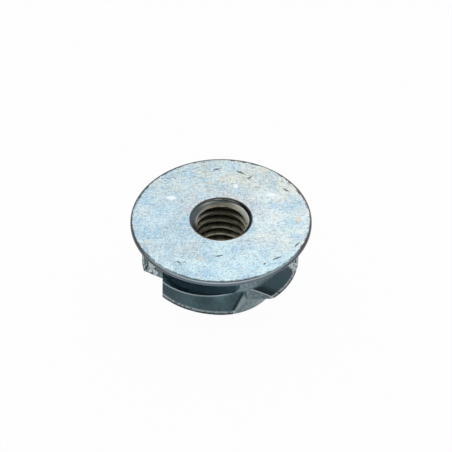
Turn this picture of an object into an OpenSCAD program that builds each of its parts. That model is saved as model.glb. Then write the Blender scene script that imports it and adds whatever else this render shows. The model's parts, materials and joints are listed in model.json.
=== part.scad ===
// Tee nut, made as one piece: a thin round flange, a stout barrel with a threaded hole through it,
// and a ring of swept barbs round the barrel that bite into the wood and stop the nut turning.
// Millimetres, +Z up. The origin is on the thread's axis, at the free end of the barrel.

/* [Overall] */
// Height from the barrel's free end to the flange's top face
nut_h = 11; // [9.8:0.1:16]

/* [Flange] */
// Diameter of the flange
flange_d = 24.5; // [23:0.1:32]
// Thickness of the flange
flange_t = 0.8; // [0.7:0.05:1.4]
// Rounding of the rim's upper edge
rim_upper_r = 0.4; // [0.2:0.05:0.45]
// Rounding of the rim's lower edge
rim_lower_r = 0.2; // [0.05:0.05:0.2]

/* [Barrel] */
// Diameter of the waist between the flange and the barbs
waist_d = 17.6; // [16.8:0.1:18.4]
// Fillet between the waist and the flange
waist_fillet_r = 0.5; // [0.2:0.1:0.8]
// Diameter of the barrel where it leaves the barbs
barrel_d = 16.6; // [15.8:0.1:16.8]
// Diameter of the barrel's free end
end_d = 15.3; // [14.2:0.1:15.7]
// Chamfer round the free end
end_chamfer = 0.3; // [0.1:0.05:0.5]

/* [Thread] */
// Nominal diameter of the thread
thread_d = 8; // [6:0.5:10]
// Pitch of the thread
thread_pitch = 1.25; // [1:0.25:1.5]
// How far the countersink at each end is wider than the thread
mouth_extra = 0.3; // [0.1:0.05:0.6]

/* [Barbs] */
// Number of barbs
barb_n = 4; // [3:1:4]
// Diameter over the barbs' lips
barb_d = 21.6; // [20.4:0.1:22.6]
// Depth below the flange's top face at which the barbs leave the waist
barb_leave = 5.6; // [4.8:0.1:6]
// Depth below the flange's top face of the lips' upper edge
barb_lip = 7.15; // [6.7:0.05:7.4]
// Thickness of the lips' edge
lip_t = 0.2; // [0.1:0.05:0.3]
// How far the barbs' underside drops from the lips to the barrel
underside_drop = 0.1; // [0:0.05:0.4]
// Distance of each barb's flat front face from the thread's axis
front_offset = 7.9; // [7.6:0.05:8.1]
// Distance of each barb's slanted rear face from the thread's axis
rear_offset = 7.3; // [7:0.05:7.6]
// Angle between the front face of one barb and the rear face of the next
notch_angle = 56; // [50:1:62]

/* [Slots] */
// Distance of the slots' flat inner wall from the thread's axis
slot_offset = 5.1; // [5:0.1:5.6]
// Turn of each slot about the thread's axis from the front face of the barb before it
slot_turn = 9; // [7:0.5:11]
// Depth below the flange's top face of the slots' lower side, at the middle of the inner wall
slot_low = 5.75; // [5.5:0.05:6]
// Tilt of the slots' lower side, which sinks towards the open end
slot_tilt = 4.6; // [3:0.2:5]
// Height of the slots at their closed end
slot_h = 3; // [2:0.1:3.4]
// Height of the slots at their open end
slot_mouth_h = 0.75; // [0.5:0.05:1]
// Distance of the closed end from the middle of the inner wall
slot_end = 3.9; // [3.4:0.1:4.2]
// Rounding of the lower corner at the closed end
slot_corner_r = 1.1; // [0.6:0.1:1.3]

/* [Hidden] */
$fn = 96;
// Depth of an internal metric thread's crests below its nominal radius, as a share of the pitch
crest_share = 0.541;
// How far a cut runs past the face that it opens
overrun = 1;
bore_r = thread_d / 2 - crest_share * thread_pitch;
mouth_r = (thread_d + mouth_extra) / 2;
mouth_h = mouth_r - bore_r;
flange_r = flange_d / 2;
waist_r = waist_d / 2;
flange_z = nut_h - flange_t;
leave_z = nut_h - barb_leave;
lip_upper_z = nut_h - barb_lip;
lip_lower_z = lip_upper_z - lip_t;
underside_z = lip_lower_z - underside_drop;
slot_z = nut_h - slot_low;
// Place along a slot at which its inner wall runs out of the waist
slot_mouth_x = -sqrt(waist_r * waist_r - slot_offset * slot_offset);
// The barbs start this far inside the barrel, so that they are one solid with it
seat_r = end_d / 2 - end_chamfer;
// Inner corner of a notch, where the front face of one barb meets the rear face of the next
notch_corner_x = (rear_offset - front_offset * cos(notch_angle)) / sin(notch_angle);
notch_corner = [notch_corner_x, -front_offset];
notch_reach = flange_d;

// Half section of the flange, with its rim rounded above and below
module flange_section() {
    core_r = flange_r - rim_upper_r;
    translate([0, flange_z]) square([core_r, flange_t]);
    translate([0, flange_z + rim_lower_r])
        square([flange_r, flange_t - rim_upper_r - rim_lower_r]);
    translate([0, flange_z]) square([flange_r - rim_lower_r, rim_lower_r]);
    translate([core_r, nut_h - rim_upper_r]) circle(r = rim_upper_r);
    translate([flange_r - rim_lower_r, flange_z + rim_lower_r]) circle(r = rim_lower_r);
}

// Half section of the barrel, from the free end's chamfer up to the flange
module barrel_section() {
    polygon([
        [0, 0],
        [end_d / 2 - end_chamfer, 0],
        [end_d / 2, end_chamfer],
        [barrel_d / 2, underside_z],
        [waist_r, leave_z],
        [waist_r, flange_z],
        [0, flange_z]
    ]);
}

// Half section of the hollow fillet that blends the waist into the flange
module fillet_section() {
    difference() {
        translate([waist_r, flange_z - waist_fillet_r]) square(waist_fillet_r);
        translate([waist_r + waist_fillet_r, flange_z - waist_fillet_r]) circle(r = waist_fillet_r);
    }
}

// Half section of the barbs: a slope that flares from the waist to a thin lip, and a flatter underside
module barb_section() {
    polygon([
        [seat_r, underside_z],
        [barrel_d / 2, underside_z],
        [barb_d / 2, lip_lower_z],
        [barb_d / 2, lip_upper_z],
        [waist_r, leave_z],
        [seat_r, leave_z]
    ]);
}

// Plan of one notch: open outwards, between a barb's front face and the rear face of the barb before it
module notch_plan() {
    rear_run = [-sin(notch_angle), -cos(notch_angle)] * notch_reach;
    polygon([
        notch_corner,
        notch_corner + [notch_reach, 0],
        notch_corner + [notch_reach, 0] + rear_run,
        notch_corner + rear_run
    ]);
}

// Ring of barbs, parted by the notches
module barbs() {
    difference() {
        rotate_extrude() barb_section();
        for (i = [0 : barb_n - 1]) {
            rotate(i * 360 / barb_n)
                translate([0, 0, underside_z - overrun])
                    linear_extrude(leave_z - underside_z + 2 * overrun) notch_plan();
        }
    }
}

// Outline of one slot seen from outside: open and low at one end, with a rounded lower corner at the other
module slot_outline() {
    corner_x = slot_end - slot_corner_r;
    polygon([
        [-notch_reach, 0],
        [corner_x, 0],
        [corner_x, slot_h],
        [slot_mouth_x, slot_mouth_h],
        [-notch_reach, slot_mouth_h]
    ]);
    translate([corner_x, slot_corner_r]) square([slot_corner_r, slot_h - slot_corner_r]);
    translate([corner_x, slot_corner_r]) circle(r = slot_corner_r);
}

// Slots in the waist above the barbs' slopes, with a web of waist left at each barb's root
module slots() {
    for (i = [0 : barb_n - 1]) {
        rotate(i * 360 / barb_n - slot_turn)
            translate([0, -slot_offset, slot_z])
                rotate([90, 0, 0])
                    rotate(slot_tilt)
                        linear_extrude(notch_reach) slot_outline();
    }
}

// Countersink that opens upwards at 45 degrees from the hole's wall
module countersink() {
    cylinder(r1 = bore_r, r2 = mouth_r + overrun, h = mouth_h + overrun);
}

// Threaded hole at its crest diameter, with a countersink at each end
module hole() {
    translate([0, 0, -overrun]) cylinder(r = bore_r, h = nut_h + 2 * overrun);
    translate([0, 0, nut_h - mouth_h]) countersink();
    translate([0, 0, mouth_h]) mirror([0, 0, 1]) countersink();
}

// The whole nut, one solid of plated steel
module tee_nut() {
    color("lightsteelblue")
        difference() {
            union() {
                rotate_extrude() {
                    flange_section();
                    barrel_section();
                    fillet_section();
                }
                barbs();
            }
            slots();
            hole();
        }
}

tee_nut();
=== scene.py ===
"""Looks of a zinc-plated tee nut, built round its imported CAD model. Lengths are in metres."""

import json
from math import cos, pi, radians, sin, tan

import bmesh
import bpy
from mathutils import Matrix, Vector


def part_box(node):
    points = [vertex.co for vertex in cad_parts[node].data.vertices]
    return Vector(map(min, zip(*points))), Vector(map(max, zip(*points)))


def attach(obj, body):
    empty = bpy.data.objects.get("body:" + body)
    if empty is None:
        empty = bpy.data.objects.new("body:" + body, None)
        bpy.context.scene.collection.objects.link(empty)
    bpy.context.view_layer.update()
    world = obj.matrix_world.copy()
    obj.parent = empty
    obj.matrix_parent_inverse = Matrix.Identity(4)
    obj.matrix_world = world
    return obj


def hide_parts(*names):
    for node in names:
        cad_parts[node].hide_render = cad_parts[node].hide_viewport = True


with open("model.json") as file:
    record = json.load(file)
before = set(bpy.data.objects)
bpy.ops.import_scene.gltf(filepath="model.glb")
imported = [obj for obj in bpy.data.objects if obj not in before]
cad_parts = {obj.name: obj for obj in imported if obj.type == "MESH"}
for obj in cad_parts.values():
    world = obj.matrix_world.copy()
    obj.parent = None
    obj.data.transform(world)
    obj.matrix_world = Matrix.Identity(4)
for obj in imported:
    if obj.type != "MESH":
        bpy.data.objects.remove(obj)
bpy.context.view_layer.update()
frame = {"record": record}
scene = bpy.context.scene

MM = 0.001

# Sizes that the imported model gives
_, node_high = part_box("tee_nut")
mounts = {mount["name"]: mount for mount in frame["record"]["mounts"]}
thread_dims = mounts["thread"]["dims"]
NUT_H = node_high.z
FLANGE_R = node_high.x
FLANGE_Z = mounts["flange_seat"]["pos_m"][2]
CREST_R = thread_dims["r_mm"] * MM
MOUTH_R = CREST_R + (NUT_H - thread_dims["length_mm"] * MM) / 2

# Flange and barrel
RIM_UPPER_R = 0.4 * MM
RIM_LOWER_R = 0.2 * MM
WAIST_R = 8.8 * MM
WAIST_FILLET_R = 0.5 * MM
BARREL_R = 8.3 * MM
END_R = 7.65 * MM
END_CHAMFER = 0.3 * MM
EASED_EDGE = 0.08 * MM
MOUTH_EASE = 0.06 * MM
# How far from its edges the top face has rings that keep its shading flat
MOUTH_RING_GAP = 0.3 * MM
RIM_RING_GAP = 0.15 * MM
# How far the barrel's rings lie below the edges of the barbs that join it
RING_GAP = 0.03 * MM
TURN_STEPS = 192
# Edges that turn by more than this many degrees are eased or shaded as sharp
SHARP_ANGLE = 28
SAME_POINT = 0.0005 * MM
SAME_RING = 0.01 * MM

# Thread
PITCH = 1.25 * MM
ROOT_R = 4.0 * MM
CREST_FLAT = PITCH / 4
ROOT_FLAT = PITCH / 8
THREAD_STEPS = 96
FLANK_CUTS = 3
# Whole turns that are wound below the nut, and turns in all beyond those that fit in its height
TURNS_BELOW = 2
TURNS_BEYOND = 3

# Barbs. Angles are measured from the side that faces the camera, towards the right.
BARB_COUNT = 4
LEAVE_Z = NUT_H - 5.6 * MM
LIP_R = 10.8 * MM
LIP_UPPER_Z = NUT_H - 7.15 * MM
LIP_LOWER_Z = LIP_UPPER_Z - 0.2 * MM
UNDERSIDE_Z = LIP_LOWER_Z - 0.1 * MM
BARB_SEAT_R = 8.2 * MM
FRONT_OFFSET = 7.9 * MM
REAR_OFFSET = 7.3 * MM
REAR_ANGLE = 90 + 56
BARB_STEPS = 73
# The left barb's rear face lies a little further round than the others', and the front barb's lip hangs a
# little lower
LEFT_BARB = 2
LEFT_BARB_LAG = 5
FRONT_BARB = 3
FRONT_LIP_DROP = 0.15 * MM
# The right barb reaches out a little less than the others, and its tip is blunt
RIGHT_BARB = 0
RIGHT_LIP_SHORT = 0.25 * MM
RIGHT_TIP_ANGLE = 21
RIGHT_TIP_OFFSET = 9.78 * MM

# Slots above the barbs, with a flat inner wall: open and low at one end, with a rounded lower corner at the
# other
SLOT_OFFSET = 5.1 * MM
SLOT_TURN = 9
SLOT_Z = NUT_H - 5.75 * MM
SLOT_TILT = 4.6
SLOT_H = 3.0 * MM
SLOT_MOUTH_H = 0.75 * MM
SLOT_MOUTH_X = -7.17 * MM
SLOT_END = 3.9 * MM
SLOT_CORNER_R = 1.1 * MM
SLOT_CORNER_STEPS = 12
# The right barb's slot is shorter and lies a little higher than the others
RIGHT_SLOT = 1
RIGHT_SLOT_Z = LEAVE_Z + 0.02 * MM
RIGHT_SLOT_X = -3.6 * MM
RIGHT_SLOT_FAR_X = RIGHT_SLOT_X - 0.1 * MM


# Mesh helpers

def direction(angle):
    """Unit vector of an angle measured from the camera's side towards the right."""
    return Vector((sin(radians(angle)), -cos(radians(angle)), 0))


def half_section(points, closed=False):
    """A bmesh that holds one half section, given as (radius, height) pairs, on the camera's side."""
    mesh = bmesh.new()
    outward = direction(0)
    corners = [mesh.verts.new(outward * radius + Vector((0, 0, height))) for radius, height in points]
    for one, other in zip(corners, corners[1:]):
        mesh.edges.new((one, other))
    if closed:
        mesh.edges.new((corners[-1], corners[0]))
    return mesh


def spin(mesh, angle, steps, rise=0.0):
    """Turns everything in the bmesh about the nut's axis, rising by the same length at each step if asked."""
    bmesh.ops.spin(
        mesh,
        geom=mesh.verts[:] + mesh.edges[:],
        cent=(0, 0, 0),
        axis=(0, 0, 1),
        dvec=(0, 0, rise),
        angle=radians(angle),
        steps=steps,
        use_merge=rise == 0 and angle == 360,
    )


def tidy(mesh):
    """Merges doubles and points the faces outwards."""
    bmesh.ops.remove_doubles(mesh, verts=mesh.verts, dist=SAME_POINT)
    bmesh.ops.recalc_face_normals(mesh, faces=mesh.faces)


def ease(mesh, edges, offset, segments):
    """Rounds edges."""
    bmesh.ops.bevel(
        mesh,
        geom=edges,
        offset=offset,
        offset_type="OFFSET",
        segments=segments,
        profile=0.5,
        affect="EDGES",
        clamp_overlap=True,
        material=-1,
    )


def ring_edges(mesh, radius, height):
    """Edges of the ring at this radius and height."""
    def on_ring(vert):
        return abs(vert.co.xy.length - radius) < SAME_RING and abs(vert.co.z - height) < SAME_RING
    return [edge for edge in mesh.edges if all(on_ring(vert) for vert in edge.verts)]


def open_edges(mesh):
    return [edge for edge in mesh.edges if edge.is_boundary]


def to_object(mesh, name):
    data = bpy.data.meshes.new(name)
    mesh.to_mesh(data)
    mesh.free()
    piece = bpy.data.objects.new(name, data)
    scene.collection.objects.link(piece)
    return piece


# Outer body: one half section turned about the axis, with its rings rounded

def outer_body():
    shoulder = FLANGE_R - RIM_UPPER_R - RIM_RING_GAP
    mesh = half_section([
        (MOUTH_R + MOUTH_EASE, NUT_H),
        (MOUTH_R + MOUTH_RING_GAP, NUT_H),
        (shoulder, NUT_H),
        (FLANGE_R, NUT_H),
        (FLANGE_R, FLANGE_Z),
        (WAIST_R, FLANGE_Z),
        (WAIST_R, LEAVE_Z - RING_GAP),
        (BARREL_R, UNDERSIDE_Z - RING_GAP),
        (END_R, END_CHAMFER),
        (END_R - END_CHAMFER, 0),
        (MOUTH_R + MOUTH_EASE, 0),
    ])
    spin(mesh, 360, TURN_STEPS)
    tidy(mesh)
    ease(mesh, ring_edges(mesh, FLANGE_R, NUT_H), RIM_UPPER_R, segments=6)
    ease(mesh, ring_edges(mesh, FLANGE_R, FLANGE_Z), RIM_LOWER_R, segments=4)
    ease(mesh, ring_edges(mesh, WAIST_R, FLANGE_Z), WAIST_FILLET_R, segments=5)
    ease(mesh, ring_edges(mesh, END_R, END_CHAMFER), EASED_EDGE, segments=2)
    ease(mesh, ring_edges(mesh, END_R - END_CHAMFER, 0), EASED_EDGE, segments=2)
    return mesh


# Hole: a right-hand thread wound up the axis, opened into a countersink at each end

def threaded_wall():
    flank = (PITCH - CREST_FLAT - ROOT_FLAT) / 2
    corners = [
        (ROOT_R, 0),
        (ROOT_R, ROOT_FLAT),
        (CREST_R, ROOT_FLAT + flank),
        (CREST_R, ROOT_FLAT + flank + CREST_FLAT),
        (ROOT_R, PITCH),
    ]
    turns = int(NUT_H / PITCH) + TURNS_BEYOND
    mesh = half_section([(radius, height - TURNS_BELOW * PITCH) for radius, height in corners])
    bmesh.ops.subdivide_edges(mesh, edges=mesh.edges[:], cuts=FLANK_CUTS)
    spin(mesh, 360 * turns, THREAD_STEPS * turns, PITCH / THREAD_STEPS)
    tidy(mesh)
    for vert in mesh.verts:
        depth = min(vert.co.z, NUT_H - vert.co.z)
        radius = vert.co.xy.length
        wanted = max(radius, MOUTH_R - depth)
        vert.co.xy = vert.co.xy * (wanted / radius)
    for height, away in ((NUT_H - MOUTH_EASE, 1), (MOUTH_EASE, -1)):
        bmesh.ops.bisect_plane(
            mesh,
            geom=mesh.verts[:] + mesh.edges[:] + mesh.faces[:],
            plane_co=(0, 0, height),
            plane_no=(0, 0, away),
            clear_outer=True,
        )
    tidy(mesh)
    return mesh


def body_with_hole():
    mesh = outer_body()
    wall = threaded_wall()
    wall_data = bpy.data.meshes.new("threaded_wall")
    wall.to_mesh(wall_data)
    wall.free()
    mesh.from_mesh(wall_data)
    bpy.data.meshes.remove(wall_data)
    for upper in (True, False):
        mouth = [edge for edge in open_edges(mesh) if (edge.verts[0].co.z > NUT_H / 2) == upper]
        bmesh.ops.bridge_loops(mesh, edges=mouth)
    tidy(mesh)
    return mesh


# Barbs, each a wedge section swept round and then cut by its flat front face and its slanted rear face, and
# slots

def cut(mesh, angle, offset):
    """Cuts away what lies beyond an upright plane, and closes the cut with a face."""
    outward = direction(angle)
    result = bmesh.ops.bisect_plane(
        mesh,
        geom=mesh.verts[:] + mesh.edges[:] + mesh.faces[:],
        plane_co=outward * offset,
        plane_no=outward,
        clear_outer=True,
    )
    edges = [item for item in result["geom_cut"] if isinstance(item, bmesh.types.BMEdge)]
    bmesh.ops.holes_fill(mesh, edges=edges, sides=0)


def barb(number):
    """One barb as a closed blank that reaches a little into the barrel."""
    lip_drop = FRONT_LIP_DROP if number == FRONT_BARB else 0
    lag = LEFT_BARB_LAG if number == LEFT_BARB else 0
    lip_r = LIP_R - RIGHT_LIP_SHORT if number == RIGHT_BARB else LIP_R
    slope = (LEAVE_Z - LIP_UPPER_Z + lip_drop) / (lip_r - WAIST_R)
    mesh = half_section([
        (BARB_SEAT_R, UNDERSIDE_Z - lip_drop),
        (lip_r, LIP_LOWER_Z - lip_drop),
        (lip_r, LIP_UPPER_Z - lip_drop),
        (BARB_SEAT_R, LEAVE_Z + slope * (WAIST_R - BARB_SEAT_R)),
    ], closed=True)
    spin(mesh, REAR_ANGLE, BARB_STEPS)
    tidy(mesh)
    cut(mesh, 0, FRONT_OFFSET)
    cut(mesh, REAR_ANGLE + lag, REAR_OFFSET)
    if number == RIGHT_BARB:
        cut(mesh, RIGHT_TIP_ANGLE, RIGHT_TIP_OFFSET)
    return finished_blank(mesh, number, EASED_EDGE)


def slot(number):
    """The space of one slot as a closed blank."""
    mesh = bmesh.new()
    right = number == RIGHT_SLOT
    far_x = RIGHT_SLOT_FAR_X if right else -FLANGE_R
    outline = [
        (far_x, 0),
        (SLOT_END, 0),
        (SLOT_END, SLOT_H),
        (SLOT_END - SLOT_CORNER_R, SLOT_H),
        (RIGHT_SLOT_X if right else SLOT_MOUTH_X, SLOT_MOUTH_H),
        (far_x, SLOT_MOUTH_H),
    ]
    wall = mesh.faces.new([mesh.verts.new((along, -SLOT_OFFSET, up)) for along, up in outline])
    outside = bmesh.ops.extrude_face_region(mesh, geom=[wall])["geom"]
    outside = [item for item in outside if isinstance(item, bmesh.types.BMVert)]
    bmesh.ops.translate(mesh, vec=(0, SLOT_OFFSET - FLANGE_R, 0), verts=outside)
    bmesh.ops.holes_fill(mesh, edges=open_edges(mesh), sides=0)
    bmesh.ops.recalc_face_normals(mesh, faces=mesh.faces)
    corner = [
        edge
        for edge in mesh.edges
        if all(vert.co.x > 0 and vert.co.z < SLOT_H / 2 for vert in edge.verts)
    ]
    ease(mesh, corner, SLOT_CORNER_R, SLOT_CORNER_STEPS)
    tilt = Matrix.Rotation(radians(0 if right else -SLOT_TILT), 3, "Y")
    place = Matrix.Rotation(radians(-SLOT_TURN), 3, "Z") @ tilt
    bmesh.ops.rotate(mesh, verts=mesh.verts, cent=(0, 0, 0), matrix=place)
    bmesh.ops.translate(mesh, vec=(0, 0, RIGHT_SLOT_Z if right else SLOT_Z), verts=mesh.verts)
    return finished_blank(mesh, number, 0)


def finished_blank(mesh, number, edge_radius):
    """Rounds a blank's edges and turns it to its place round the nut."""
    tidy(mesh)
    if edge_radius:
        limit = radians(SHARP_ANGLE)
        sharp = [edge for edge in mesh.edges if edge.is_manifold and edge.calc_face_angle() > limit]
        ease(mesh, sharp, edge_radius, segments=2)
    turn = Matrix.Rotation(radians(number * 360 / BARB_COUNT), 3, "Z")
    bmesh.ops.rotate(mesh, verts=mesh.verts, cent=(0, 0, 0), matrix=turn)
    tidy(mesh)
    return to_object(mesh, "blank")


def plated_nut():
    """The whole nut as one closed skin."""
    nut = to_object(body_with_hole(), "plated_nut")
    helpers = []
    for make, operation in ((barb, "UNION"), (slot, "DIFFERENCE")):
        for number in range(BARB_COUNT):
            helpers.append(make(number))
            change = nut.modifiers.new(operation, "BOOLEAN")
            change.operation = operation
            change.solver = "EXACT"
            change.object = helpers[-1]
    depsgraph = bpy.context.evaluated_depsgraph_get()
    joined = bpy.data.meshes.new_from_object(nut.evaluated_get(depsgraph))
    nut.modifiers.clear()
    nut.data = joined
    for helper in helpers:
        bpy.data.objects.remove(helper)
    skin = bmesh.new()
    skin.from_mesh(joined)
    tidy(skin)
    skin.to_mesh(joined)
    skin.free()
    joined.shade_smooth()
    joined.set_sharp_from_angle(angle=radians(SHARP_ANGLE))
    return nut


# Materials

def linear(hex_colour):
    """An sRGB hex colour as linear red, green, blue and alpha."""
    channels = [int(hex_colour[start:start + 2], 16) / 255 for start in (1, 3, 5)]
    return [c / 12.92 if c <= 0.04045 else ((c + 0.055) / 1.055) ** 2.4 for c in channels] + [1.0]


def add(tree, kind, settings=(), links=()):
    """Adds a node, with settings for its options and sockets, and links into its sockets."""
    node = tree.nodes.new(kind)
    for name, value in dict(settings).items():
        if isinstance(name, str) and hasattr(node, name):
            setattr(node, name, value)
        else:
            node.inputs[name].default_value = value
    for socket, source in dict(links).items():
        tree.links.new(source, node.inputs[socket])
    return node


def all_of(tree, soft_steps, mask=None, easing="SMOOTHSTEP"):
    """A mask times soft steps, each given as a value and the two levels between which it comes in."""
    for value, low, high in soft_steps:
        step = add(
            tree,
            "ShaderNodeMapRange",
            {"interpolation_type": easing, "From Min": low, "From Max": high},
            {"Value": value},
        ).outputs[0]
        if mask:
            step = add(tree, "ShaderNodeMath", {"operation": "MULTIPLY"}, {0: mask, 1: step}).outputs[0]
        mask = step
    return mask


# Sockets of a colour Mix node
MIX_A = 6
MIX_B = 7
MIX_RESULT = 2

CLEAN_ZINC = "#cae6ef"

# Stains in the plating and painted light and shade, from the first laid to the last: zone, colour, strength,
# and the spots that it comes in. Spots have a width, how many times as long they are, a turn in degrees,
# noise detail, and the noise levels between which they come in. An entry without spots covers its whole zone.
# The narrowest spots, 0.15 to 0.2 mm wide, are drawn coarser than the real specks and scratches, which are
# too fine to show in the render.
STAINS_AND_PAINTED_LIGHT = [
    ("all", "#a3b8c6", 0.55, (7.0 * MM, 1, 0, 2, 0.42, 0.66)),
    ("all", "#d9d8cc", 0.55, (4.5 * MM, 1, 0, 4, 0.46, 0.66)),
    ("front", "#d9f8ff", 0.80, (2.0 * MM, 1, 0, 2, 0.20, 0.60)),
    ("right", "#f5f8f2", 0.65, (2.6 * MM, 1, 0, 3, 0.25, 0.60)),
    ("back", "#e2dfcb", 0.55, (2.2 * MM, 1, 0, 3, 0.30, 0.62)),
    ("top", "#86bfe3", 0.48, (2.8 * MM, 1, 0, 3, 0.42, 0.68)),
    ("top", "#dccdb6", 0.35, (1.1 * MM, 1, 0, 3, 0.58, 0.74)),
    ("front_left", "#93adc0", 0.45, (1.6 * MM, 1, 0, 3, 0.34, 0.64)),
    ("collar", "#cbc0bd", 0.60, (1.2 * MM, 1, 0, 3, 0.34, 0.60)),
    ("all", "#93a3ab", 0.60, (0.50 * MM, 1, 0, 3, 0.47, 0.72)),
    ("all", "#f6fcff", 0.65, (0.42 * MM, 1, 0, 3, 0.52, 0.74)),
    ("top", "#64757f", 0.66, (0.17 * MM, 1, 0, 2, 0.54, 0.75)),
    ("top", "#fffef2", 0.95, (0.19 * MM, 1, 0, 2, 0.52, 0.70)),
    ("top", "#5f6568", 0.62, (0.15 * MM, 4, 25, 2, 0.60, 0.73)),
    ("top", "#5f6568", 0.62, (0.15 * MM, 4, -50, 2, 0.60, 0.73)),
    ("top", "#fffdf0", 0.65, (0.15 * MM, 4, 75, 2, 0.58, 0.72)),
    ("back", "#454a48", 0.75, (0.20 * MM, 5, -20, 3, 0.58, 0.70)),
    ("top", "#55585a", 0.75, (0.22 * MM, 1, 0, 1, 0.68, 0.75)),
    # Painted shade: the rim's side darker than the top face all round, and darker still at the front
    ("rim", "#4f5965", 0.90, None),
    ("rim_side", "#3a3438", 0.80, None),
    # Below the flange: partly the barbs' own duller teal plating, partly painted shade under the flange
    ("under", "#566970", 0.95, None),
    # Painted light and shade by how the faces lie: faces below the flange that look up are painted lighter,
    # then painted darker on the right side and a little darker on the left
    ("slope", "#7f9da4", 0.95, None),
    ("right_slope", "#556b72", 0.95, None),
    ("left_slope", "#61757a", 0.95, None),
    ("slope", "#5a747a", 0.45, (0.6 * MM, 1, 0, 4, 0.45, 0.65)),
    ("slope", "#b9c4c4", 0.60, (0.16 * MM, 1, 0, 2, 0.62, 0.74)),
    # Darker along the front barb's rear edge and on the outer faces of the lips
    ("rear_edge", "#1d2628", 0.70, None),
    ("lip", "#30383a", 0.80, None),
    # Painted reflection: the waist wall on the right side painted lighter, standing in for the lit floor it
    # reflects
    ("web", "#71868e", 0.90, None),
    ("notch", "#b9c0bb", 0.25, (0.55 * MM, 1, 0, 3, 0.48, 0.68)),
    ("notch", "#3b484d", 0.62, (0.30 * MM, 1, 0, 3, 0.44, 0.68)),
    ("notch", "#d5dcdc", 0.50, (0.16 * MM, 1, 0, 2, 0.60, 0.74)),
    # Painted light: the slots' inner walls painted pale, lifting the deep shade inside them
    ("slot", "#a9bcc2", 1.00, None),
    ("mouth", "#b3b3a8", 0.90, None),
    ("thread", "#7a7766", 0.90, None),
    ("thread", "#33322a", 0.70, (0.9 * MM, 1, 0, 3, 0.50, 0.66)),
]
# How far the noise of one stain lies from that of the stain before it
STAIN_SHIFT = Vector((13 * MM, 7 * MM, 0))
SPOT_ROUGHNESS = 0.62
SCRATCH_WAVINESS = 0.8

# Rings in the countersink, most of them painted highlights, reflections and shade: colour, depths between
# which the ring lies, the side it is strongest on, strength
RINGS = [
    # Painted highlights and reflections in bands at the back, painted shade on the left, a painted dark band
    # and a painted light line on the right, and a painted light line on the left
    ("#d4cfbf", 0.18 * MM, 0.36 * MM, 180, 0.85),
    ("#8d9ca1", 0.38 * MM, 0.52 * MM, 180, 0.85),
    ("#d6cbb2", 0.54 * MM, 0.90 * MM, 180, 0.80),
    ("#66747a", 0.05 * MM, 0.62 * MM, -95, 0.85),
    ("#151315", 0.02 * MM, 0.42 * MM, 100, 0.97),
    ("#eef3f6", 0.46 * MM, 0.60 * MM, 110, 0.90),
    ("#eef3f6", 0.72 * MM, 0.86 * MM, -80, 0.80),
    # A dark line round the edge, and a brown stain at the front edge
    ("#2b2629", -0.02 * MM, 0.09 * MM, None, 0.85),
    ("#80603c", -0.02 * MM, 0.06 * MM, 0, 0.85),
]
RING_SOFTNESS = 0.03 * MM

RIM_LINE_COLOUR = "#453c38"
RIM_LINE_WAVE = 0.7 * MM
RIM_LINE_WANDER = 0.12 * MM

# White bloom of corroded zinc on the barbs: middle, reach
BLOOMS = [
    ((9.9 * MM, -2.2 * MM, 4.4 * MM), 1.7 * MM),
    ((-9.4 * MM, -2.6 * MM, 4.6 * MM), 1.6 * MM),
]
BLOOM_SPOT = 0.45 * MM
# Colour of the bloom, also used for the painted edge highlights
BLOOM_AND_HIGHLIGHT_COLOUR = "#e6eeee"
GAP_COLOUR = "#2c3436"
GAP_STRENGTH = 0.80
# How metallic the bloom and the painted edge highlights are
BLOOM_AND_HIGHLIGHT_METALLIC = 0.25

# Marks on the flange's top face: colour, place across and towards the back, length, width, turn in degrees
MARKS = [
    ("#f7fbfb", -6.76 * MM, 4.14 * MM, 1.40 * MM, 0.95 * MM, 0),
    ("#f7fbfb", 6.80 * MM, 4.74 * MM, 1.50 * MM, 0.75 * MM, 10),
    ("#f7fbfb", 2.03 * MM, 6.50 * MM, 0.80 * MM, 1.00 * MM, 0),
    ("#dedbcf", 5.98 * MM, 9.90 * MM, 1.60 * MM, 1.10 * MM, 0),
    ("#dedacd", 10.50 * MM, -0.20 * MM, 0.90 * MM, 1.40 * MM, 0),
    ("#d9d7cc", -9.55 * MM, -4.50 * MM, 0.65 * MM, 0.75 * MM, 0),
    ("#d6d3ca", -2.74 * MM, -7.70 * MM, 0.75 * MM, 1.05 * MM, 0),
    ("#d3cfc5", -1.65 * MM, 7.10 * MM, 0.80 * MM, 1.00 * MM, 0),
    ("#4a5052", -0.22 * MM, -7.14 * MM, 1.10 * MM, 0.28 * MM, 12),
    ("#4a5052", 8.84 * MM, 5.73 * MM, 1.20 * MM, 0.34 * MM, -40),
    ("#4a5052", 10.20 * MM, -4.94 * MM, 1.20 * MM, 0.30 * MM, 50),
    ("#4a5052", 7.47 * MM, -7.60 * MM, 1.60 * MM, 0.30 * MM, 28),
    ("#4a5052", 5.80 * MM, -8.70 * MM, 0.50 * MM, 0.40 * MM, 20),
    ("#4a5052", -5.60 * MM, -8.40 * MM, 0.90 * MM, 0.28 * MM, -30),
    ("#4a5052", 2.60 * MM, 9.30 * MM, 1.50 * MM, 0.34 * MM, -35),
    ("#4a5052", 3.90 * MM, 8.20 * MM, 1.10 * MM, 0.30 * MM, 40),
    ("#4a5052", -0.60 * MM, 9.90 * MM, 1.30 * MM, 0.30 * MM, 15),
]
MARK_STRENGTH = 0.85

SIDE_ROUGHNESS = 0.28
TOP_ROUGHNESS = 0.40
GRAIN_WIDTH = 0.3 * MM
GRAIN_HEIGHT = 0.03 * MM


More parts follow.
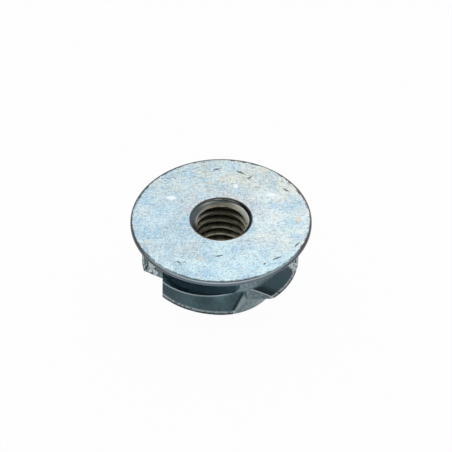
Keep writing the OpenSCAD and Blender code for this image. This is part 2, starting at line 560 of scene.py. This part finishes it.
def zinc_plate():
    """Blue-white zinc plate on formed steel: a satin metal, pale sky blue where it is clean. It is clouded
    with cream and grey, has specks and short scratches on the flange, is duller under it, where it also has
    painted light and shade, and has a brown film in the thread. Painted highlights lie along some edges, and
    painted highlights, reflections and shade in the countersink."""
    material = bpy.data.materials.new("blue_white_zinc_plate")
    material.use_nodes = True
    tree = material.node_tree
    tree.nodes.clear()
    coordinates = add(tree, "ShaderNodeTexCoord").outputs
    place = coordinates["Object"]
    across, depth, height = add(tree, "ShaderNodeSeparateXYZ", links={0: place}).outputs
    facing_up = add(tree, "ShaderNodeSeparateXYZ", links={0: coordinates["Normal"]}).outputs["Z"]
    flat = add(tree, "ShaderNodeVectorMath", {"operation": "MULTIPLY", 1: (1, 1, 0)}, {0: place}).outputs[0]
    radius = add(tree, "ShaderNodeVectorMath", {"operation": "LENGTH"}, {0: flat}).outputs["Value"]

    # A radius at which all the lips end at LIP_R, also the right barb's, which is shorter
    on_right_barb = all_of(tree, [(across, 3.0 * MM, 4.5 * MM), (depth, 4 * MM, 3 * MM)], easing="LINEAR")
    lip_radius = add(
        tree,
        "ShaderNodeMath",
        {"operation": "MULTIPLY_ADD", 1: RIGHT_LIP_SHORT},
        {0: on_right_barb, 2: radius},
    ).outputs[0]

    # Distances towards the front barb's rear face, and in the front slot's own directions: up, out and along
    slot_along = direction(90 - SLOT_TURN)
    slot_up = Vector((0, 0, 1)) - slot_along * tan(radians(SLOT_TILT))
    to_rear_face, over_slot, out_of_slot, along_slot = [
        add(tree, "ShaderNodeVectorMath", {"operation": "DOT_PRODUCT", 1: axis}, {0: place}).outputs["Value"]
        for axis in (direction(REAR_ANGLE - 90), slot_up, direction(-SLOT_TURN), slot_along)
    ]

    # Zones of the nut
    on_top = (height, NUT_H - 0.10 * MM, NUT_H - 0.03 * MM)
    outside_hole = (radius, MOUTH_R, MOUTH_R + 0.2 * MM)
    below_flange = (height, FLANGE_Z, FLANGE_Z - 0.5 * MM)
    well_below_flange = (height, FLANGE_Z - 0.3 * MM, FLANGE_Z - 0.6 * MM)
    sloping = (facing_up, 0.35, 0.60)
    rim = [
        (height, NUT_H - 0.15 * MM, NUT_H - 0.30 * MM),
        (height, FLANGE_Z, FLANGE_Z + 0.1 * MM),
        (radius, FLANGE_R - 0.4 * MM, FLANGE_R - 0.2 * MM),
    ]
    steps = {
        "top": [on_top],
        "front": [on_top, (depth, -4 * MM, -9 * MM)],
        "right": [on_top, (across, -2 * MM, 6 * MM), (depth, -8 * MM, -3 * MM)],
        "back": [on_top, (depth, 3 * MM, 8 * MM)],
        "front_left": [on_top, (across, 0, -5 * MM), (depth, -2 * MM, -6 * MM)],
        "collar": [on_top, (radius, 7.4 * MM, 4.8 * MM), (depth, -1.0 * MM, 2.5 * MM)],
        "rim": rim,
        "rim_side": rim + [(depth, -11.4 * MM, -7.5 * MM)],
        "under": [(height, FLANGE_Z + 0.1 * MM, FLANGE_Z - 0.3 * MM), outside_hole],
        "slope": [below_flange, outside_hole, sloping],
        "right_slope": [below_flange, (across, 3.0 * MM, 4.5 * MM), sloping],
        "left_slope": [below_flange, (across, -3.5 * MM, -7.0 * MM), sloping],
        "rear_edge": [
            (to_rear_face, REAR_OFFSET - 0.45 * MM, REAR_OFFSET - 0.20 * MM),
            sloping,
            (depth, -6.5 * MM, -7.5 * MM),
            (height, LEAVE_Z, LEAVE_Z - 0.2 * MM),
        ],
        "lip": [(height, LEAVE_Z, LEAVE_Z - 0.3 * MM), (lip_radius, LIP_R - 0.08 * MM, LIP_R - 0.03 * MM)],
        "web": [
            (height, LEAVE_Z - 0.1 * MM, LEAVE_Z + 0.05 * MM),
            (height, FLANGE_Z, FLANGE_Z - 0.3 * MM),
            (radius, WAIST_R - 0.1 * MM, WAIST_R - 0.03 * MM),
            (across, 1.0 * MM, 2.5 * MM),
        ],
        "notch": [well_below_flange, outside_hole, (facing_up, 0.35, 0.20)],
        "slot": [
            well_below_flange,
            (height, SLOT_Z - 0.70 * MM, SLOT_Z - 0.62 * MM),
            (radius, WAIST_R - 0.05 * MM, WAIST_R - 0.25 * MM),
            outside_hole,
        ],
        "mouth": [(height, NUT_H, NUT_H - 0.1 * MM), (radius, MOUTH_R + 0.1 * MM, MOUTH_R)],
        "thread": [(height, NUT_H - 0.7 * MM, NUT_H - 1.0 * MM), (radius, MOUTH_R + 0.1 * MM, MOUTH_R)],
    }
    zones = {zone: all_of(tree, soft_steps) for zone, soft_steps in steps.items()}

    # Each mask comes with the colour that it lays over those before it
    masks = []
    for number, (zone, hex_colour, strength, spots) in enumerate(STAINS_AND_PAINTED_LIGHT):
        mask = zones.get(zone)
        if spots:
            width, length, turn, detail, low, high = spots
            moved = add(
                tree,
                "ShaderNodeMapping",
                {
                    "Location": STAIN_SHIFT * number,
                    "Rotation": (0, 0, radians(turn)),
                    "Scale": (1 / length, 1, 1),
                },
                {0: place},
            )
            noise = add(
                tree,
                "ShaderNodeTexNoise",
                {
                    "Scale": 1 / width,
                    "Detail": detail,
                    "Roughness": SPOT_ROUGHNESS,
                    "Distortion": 0.0 if length == 1 else SCRATCH_WAVINESS,
                },
                {"Vector": moved.outputs[0]},
            )
            mask = all_of(tree, [(noise.outputs[0], low, high)], mask)
        mask = add(tree, "ShaderNodeMath", {"operation": "MULTIPLY", 1: strength}, {0: mask}).outputs[0]
        masks.append((hex_colour, mask))

    # Marks, each a soft oval broken up by fine noise
    breakup = add(
        tree, "ShaderNodeTexNoise", {"Scale": 1 / GRAIN_WIDTH, "Detail": 2}, {"Vector": place}
    ).outputs[0]
    for hex_colour, mark_x, mark_y, length, width, turn in MARKS:
        oval = add(
            tree,
            "ShaderNodeMapping",
            {
                "vector_type": "TEXTURE",
                "Location": (mark_x, mark_y, 0),
                "Rotation": (0, 0, radians(turn)),
                "Scale": (length / 2, width / 2, 1),
            },
            {0: flat},
        ).outputs[0]
        reach = add(tree, "ShaderNodeVectorMath", {"operation": "LENGTH"}, {0: oval}).outputs["Value"]
        rough_reach = add(tree, "ShaderNodeMath", {"operation": "ADD"}, {0: reach, 1: breakup}).outputs[0]
        mask = all_of(tree, [(rough_reach, 1.7, 1.0)], zones["top"])
        mask = add(tree, "ShaderNodeMath", {"operation": "MULTIPLY", 1: MARK_STRENGTH}, {0: mask}).outputs[0]
        masks.append((hex_colour, mask))

    # Rings in the countersink at the top: painted highlights, reflections and shade, a dark edge line and a
    # brown stain
    depth_in = add(tree, "ShaderNodeMath", {"operation": "SUBTRACT", 0: NUT_H}, {1: height}).outputs[0]
    for hex_colour, upper, lower, side, strength in RINGS:
        soft_steps = [
            (depth_in, upper - RING_SOFTNESS, upper + RING_SOFTNESS),
            (depth_in, lower + RING_SOFTNESS, lower - RING_SOFTNESS),
            (radius, MOUTH_R + 0.16 * MM, MOUTH_R + 0.12 * MM),
        ]
        if side is not None:
            sideways = add(
                tree, "ShaderNodeVectorMath", {"operation": "DOT_PRODUCT", 1: direction(side)}, {0: place}
            ).outputs["Value"]
            soft_steps.append((sideways, 0.45 * MOUTH_R, 0.80 * MOUTH_R))
        ring = all_of(tree, soft_steps)
        ring = add(tree, "ShaderNodeMath", {"operation": "MULTIPLY", 1: strength}, {0: ring}).outputs[0]
        masks.append((hex_colour, ring))

    # Dark lines where the top face turns over into the rim: ragged all round, wider at the sides and back
    ragged = add(tree, "ShaderNodeTexNoise", {"Scale": 1 / RIM_LINE_WAVE, "Detail": 3}, {"Vector": place})
    wander = add(
        tree,
        "ShaderNodeMapRange",
        {"From Min": 0.35, "From Max": 0.65, "To Min": -RIM_LINE_WANDER, "To Max": RIM_LINE_WANDER},
        {"Value": ragged.outputs[0]},
    ).outputs[0]
    ragged_radius = add(tree, "ShaderNodeMath", {"operation": "ADD"}, {0: radius, 1: wander}).outputs[0]
    # Strength and soft steps of each line
    rim_lines = [
        (0.56, [
            (ragged_radius, FLANGE_R - 0.34 * MM, FLANGE_R - 0.28 * MM),
            (height, NUT_H - 0.10 * MM, NUT_H - 0.05 * MM),
        ]),
        (0.86, [
            (radius, FLANGE_R - 0.30 * MM, FLANGE_R - 0.20 * MM),
            (height, NUT_H - 0.35 * MM, NUT_H - 0.25 * MM),
            (depth, -9 * MM, -5 * MM),
        ]),
        (0.81, [
            (ragged_radius, FLANGE_R - 0.52 * MM, FLANGE_R - 0.42 * MM),
            (depth, 1 * MM, 5 * MM),
        ]),
    ]
    for strength, soft_steps in rim_lines:
        line = all_of(tree, soft_steps)
        line = add(tree, "ShaderNodeMath", {"operation": "MULTIPLY", 1: strength}, {0: line}).outputs[0]
        masks.append((RIM_LINE_COLOUR, line))

    # White bloom in patches broken up by noise, with dark gaps in them
    mottle = add(
        tree,
        "ShaderNodeTexNoise",
        {"Scale": 1 / BLOOM_SPOT, "Detail": 4, "Roughness": 0.7},
        {"Vector": place},
    ).outputs[0]
    pale = []
    for middle, reach in BLOOMS:
        away = add(
            tree, "ShaderNodeVectorMath", {"operation": "DISTANCE", 1: middle}, {0: place}
        ).outputs["Value"]
        thicker = add(
            tree,
            "ShaderNodeMapRange",
            {"From Min": 0.0, "From Max": reach, "To Min": 0.26, "To Max": -0.10},
            {"Value": away},
        ).outputs[0]
        level = add(tree, "ShaderNodeMath", {"operation": "ADD"}, {0: mottle, 1: thicker}).outputs[0]
        near = (away, reach, 0.7 * reach)
        pale.append(all_of(tree, [(level, 0.52, 0.64), near], easing="LINEAR"))
        gap = all_of(tree, [(mottle, 0.47, 0.40), near], easing="LINEAR")
        gap = add(tree, "ShaderNodeMath", {"operation": "MULTIPLY", 1: GAP_STRENGTH}, {0: gap}).outputs[0]
        masks.append((GAP_COLOUR, gap))

    # Painted highlights along edges, as pale as the bloom: strength, zone if any, soft steps
    painted_edge_highlights = [
        # Painted highlight on the slope, along the lower side of the front slot
        (0.80, None, [
            (over_slot, SLOT_Z - 0.12 * MM, SLOT_Z - 0.09 * MM),
            (over_slot, SLOT_Z - 0.004 * MM, SLOT_Z - 0.012 * MM),
            (out_of_slot, SLOT_OFFSET, SLOT_OFFSET + 0.2 * MM),
            (depth, -3.8 * MM, -4.3 * MM),
            (along_slot, SLOT_END - 0.8 * MM, SLOT_END - 1.2 * MM),
            (radius, WAIST_R - 0.02 * MM, WAIST_R + 0.01 * MM),
        ]),
        # Painted highlight on the slopes beside the lips
        (0.75, "under", [
            (lip_radius, LIP_R - 0.28 * MM, LIP_R - 0.22 * MM),
            (lip_radius, LIP_R - 0.03 * MM, LIP_R - 0.08 * MM),
            (mottle, 0.40, 0.50),
        ]),
        # Painted highlight on the front of the rim
        (0.60, None, [
            (height, NUT_H - 0.30 * MM, NUT_H - 0.24 * MM),
            (height, NUT_H - 0.12 * MM, NUT_H - 0.16 * MM),
            (depth, -9.0 * MM, -11.0 * MM),
            (radius, FLANGE_R - 0.4 * MM, FLANGE_R - 0.3 * MM),
        ]),
        # Painted highlight along the upper edge of the right barb's front face
        (1.00, "under", [
            (depth, -FRONT_OFFSET + 0.12 * MM, -FRONT_OFFSET + 0.09 * MM),
            (depth, -FRONT_OFFSET - 0.03 * MM, -FRONT_OFFSET),
            (across, 3.5 * MM, 3.9 * MM),
            (facing_up, 0.15, 0.30),
            (height, LEAVE_Z + 0.10 * MM, LEAVE_Z + 0.05 * MM),
        ]),
    ]
    for strength, zone, soft_steps in painted_edge_highlights:
        edge = all_of(tree, soft_steps, zones.get(zone), "LINEAR")
        pale.append(add(tree, "ShaderNodeMath", {"operation": "MULTIPLY", 1: strength}, {0: edge}).outputs[0])
    # The bloom and the painted edge highlights, laid in one pale colour
    bloom_and_highlights = pale[0]
    for mask in pale[1:]:
        bloom_and_highlights = add(tree, "ShaderNodeMath", {"operation": "MAXIMUM"}, {0: bloom_and_highlights, 1: mask}).outputs[0]
    masks.append((BLOOM_AND_HIGHLIGHT_COLOUR, bloom_and_highlights))

    colour = None
    for hex_colour, mask in masks:
        mix = add(
            tree,
            "ShaderNodeMix",
            {"data_type": "RGBA", MIX_A: linear(CLEAN_ZINC), MIX_B: linear(hex_colour)},
            {0: mask},
        )
        if colour:
            tree.links.new(colour, mix.inputs[MIX_A])
        colour = mix.outputs[MIX_RESULT]

    metal = add(tree, "ShaderNodeMapRange", {"To Min": 1.0, "To Max": BLOOM_AND_HIGHLIGHT_METALLIC}, {"Value": bloom_and_highlights})
    gloss = add(
        tree,
        "ShaderNodeMapRange",
        {"To Min": SIDE_ROUGHNESS, "To Max": TOP_ROUGHNESS},
        {"Value": zones["top"]},
    )
    grain = add(
        tree,
        "ShaderNodeTexNoise",
        {"Scale": 1 / GRAIN_WIDTH, "Detail": 3, "Roughness": 0.6},
        {"Vector": place},
    ).outputs[0]
    bump = add(tree, "ShaderNodeBump", {"Strength": 0.5, "Distance": GRAIN_HEIGHT}, {"Height": grain})
    shader = add(
        tree,
        "ShaderNodeBsdfPrincipled",
        links={
            "Base Color": colour,
            "Metallic": metal.outputs[0],
            "Roughness": gloss.outputs[0],
            "Normal": bump.outputs[0],
        },
    )
    add(tree, "ShaderNodeOutputMaterial", links={"Surface": shader.outputs[0]})
    return material


FLOOR_OWN_WHITE = 0.97


def studio_floor():
    """White matt card. What sees it directly gets most of its white from the card itself, so that its shadow
    stays soft."""
    material = bpy.data.materials.new("white_matt_card")
    material.use_nodes = True
    tree = material.node_tree
    tree.nodes.clear()
    path = add(tree, "ShaderNodeLightPath")
    seen = path.outputs["Is Camera Ray"]
    for name in ("Is Glossy Ray", "Is Transmission Ray"):
        ray = path.outputs[name]
        seen = add(tree, "ShaderNodeMath", {"operation": "MAXIMUM"}, {0: seen, 1: ray}).outputs[0]
    share = add(tree, "ShaderNodeMath", {"operation": "MULTIPLY", 1: FLOOR_OWN_WHITE}, {0: seen}).outputs[0]
    card = add(tree, "ShaderNodeBsdfDiffuse", {"Color": linear("#f7f7f6")})
    white = add(tree, "ShaderNodeEmission", {"Color": (1, 1, 1, 1), "Strength": 1.0})
    mixed = add(tree, "ShaderNodeMixShader", links={0: share, 1: card.outputs[0], 2: white.outputs[0]})
    add(tree, "ShaderNodeOutputMaterial", links={"Surface": mixed.outputs[0]})
    return material


# The nut

nut = plated_nut()
nut.data.materials.clear()
nut.data.materials.append(zinc_plate())
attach(nut, "root")
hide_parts("tee_nut")

# Floor, a hair below the barrel's end so that the two faces don't coincide

FLOOR_HALF_WIDTH = 3.0
FLOOR_DROP = 0.01 * MM

floor_mesh = bmesh.new()
bmesh.ops.create_grid(floor_mesh, x_segments=1, y_segments=1, size=FLOOR_HALF_WIDTH)
bmesh.ops.translate(floor_mesh, vec=(0, 0, -FLOOR_DROP), verts=floor_mesh.verts)
floor = to_object(floor_mesh, "floor")
floor.data.materials.append(studio_floor())

# Light: a sky that is bright behind the nut and dim over the camera, and a weak small lamp above the camera.
# Levels are those between which a part of the sky comes in.

BACK_SKY = 1.12
BACK_WAY = Vector((0, 0.725, 0.688))
BACK_SKY_LEVELS = (0.45, 0.80)
FRONT_SKY = 0.42
LOW_SKY = 0.9
LOW_SKY_LEVELS = (-0.72, -0.92)
DARK_PATCH = Vector((0, -0.47, 0.88))
DARK_PATCH_SHARE = 0.35
DARK_PATCH_LEVELS = (cos(radians(42)), cos(radians(18)))
LAMP_ELEVATION = radians(54.6)
LAMP_STRENGTH = 0.02
LAMP_WIDTH = radians(1.5)


def studio_sky():
    """The sky, with each part fading into the next."""
    world = bpy.data.worlds.new("studio_sky")
    world.use_nodes = True
    tree = world.node_tree
    tree.nodes.clear()
    toward = add(tree, "ShaderNodeTexCoord").outputs["Generated"]
    towards_back = add(tree, "ShaderNodeSeparateXYZ", links={0: toward}).outputs["Y"]
    at_back, at_patch = [
        add(tree, "ShaderNodeVectorMath", {"operation": "DOT_PRODUCT", 1: way}, {0: toward}).outputs["Value"]
        for way in (BACK_WAY, DARK_PATCH)
    ]
    back, dim, low = [
        add(
            tree,
            "ShaderNodeMapRange",
            {
                "interpolation_type": "SMOOTHSTEP",
                "From Min": levels[0],
                "From Max": levels[1],
                "To Min": before,
                "To Max": after,
            },
            {"Value": value},
        ).outputs[0]
        for value, levels, before, after in (
            (at_back, BACK_SKY_LEVELS, FRONT_SKY, BACK_SKY),
            (at_patch, DARK_PATCH_LEVELS, 1.0, DARK_PATCH_SHARE),
            (towards_back, LOW_SKY_LEVELS, 0.0, LOW_SKY),
        )
    ]
    upper = add(tree, "ShaderNodeMath", {"operation": "MULTIPLY"}, {0: back, 1: dim}).outputs[0]
    level = add(tree, "ShaderNodeMath", {"operation": "MAXIMUM"}, {0: upper, 1: low})
    light = add(tree, "ShaderNodeBackground", {"Color": linear("#f8fbff")}, {"Strength": level.outputs[0]})
    add(tree, "ShaderNodeOutputWorld", links={"Surface": light.outputs[0]})
    return world


scene.world = studio_sky()
lamp_data = bpy.data.lights.new("small_lamp", "SUN")
lamp_data.energy = LAMP_STRENGTH
lamp_data.angle = LAMP_WIDTH
lamp = bpy.data.objects.new("small_lamp", lamp_data)
lamp.rotation_euler = (pi / 2 - LAMP_ELEVATION, 0, 0)
scene.collection.objects.link(lamp)

# Camera at the photograph's height and distance, with the flange a little above the middle of the frame

CAMERA_ELEVATION = radians(43.5)
CAMERA_DISTANCE = 33 * FLANGE_R
FOCAL_LENGTH = 238.7
SENSOR_WIDTH = 36
AIM_RIGHT = 0.67 * MM
AIM_DOWN = 0.96 * MM
look_up = Vector((0, sin(CAMERA_ELEVATION), cos(CAMERA_ELEVATION)))
look_back = Vector((0, -cos(CAMERA_ELEVATION), sin(CAMERA_ELEVATION)))
aim = Vector((AIM_RIGHT, 0, NUT_H)) - look_up * AIM_DOWN
lens = bpy.data.cameras.new("camera")
lens.lens = FOCAL_LENGTH
lens.sensor_width = SENSOR_WIDTH
camera = bpy.data.objects.new("camera", lens)
camera.location = aim + look_back * CAMERA_DISTANCE
camera.rotation_euler = (pi / 2 - CAMERA_ELEVATION, 0, 0)
scene.collection.objects.link(camera)
scene.camera = camera
scene.view_settings.view_transform = "Standard"
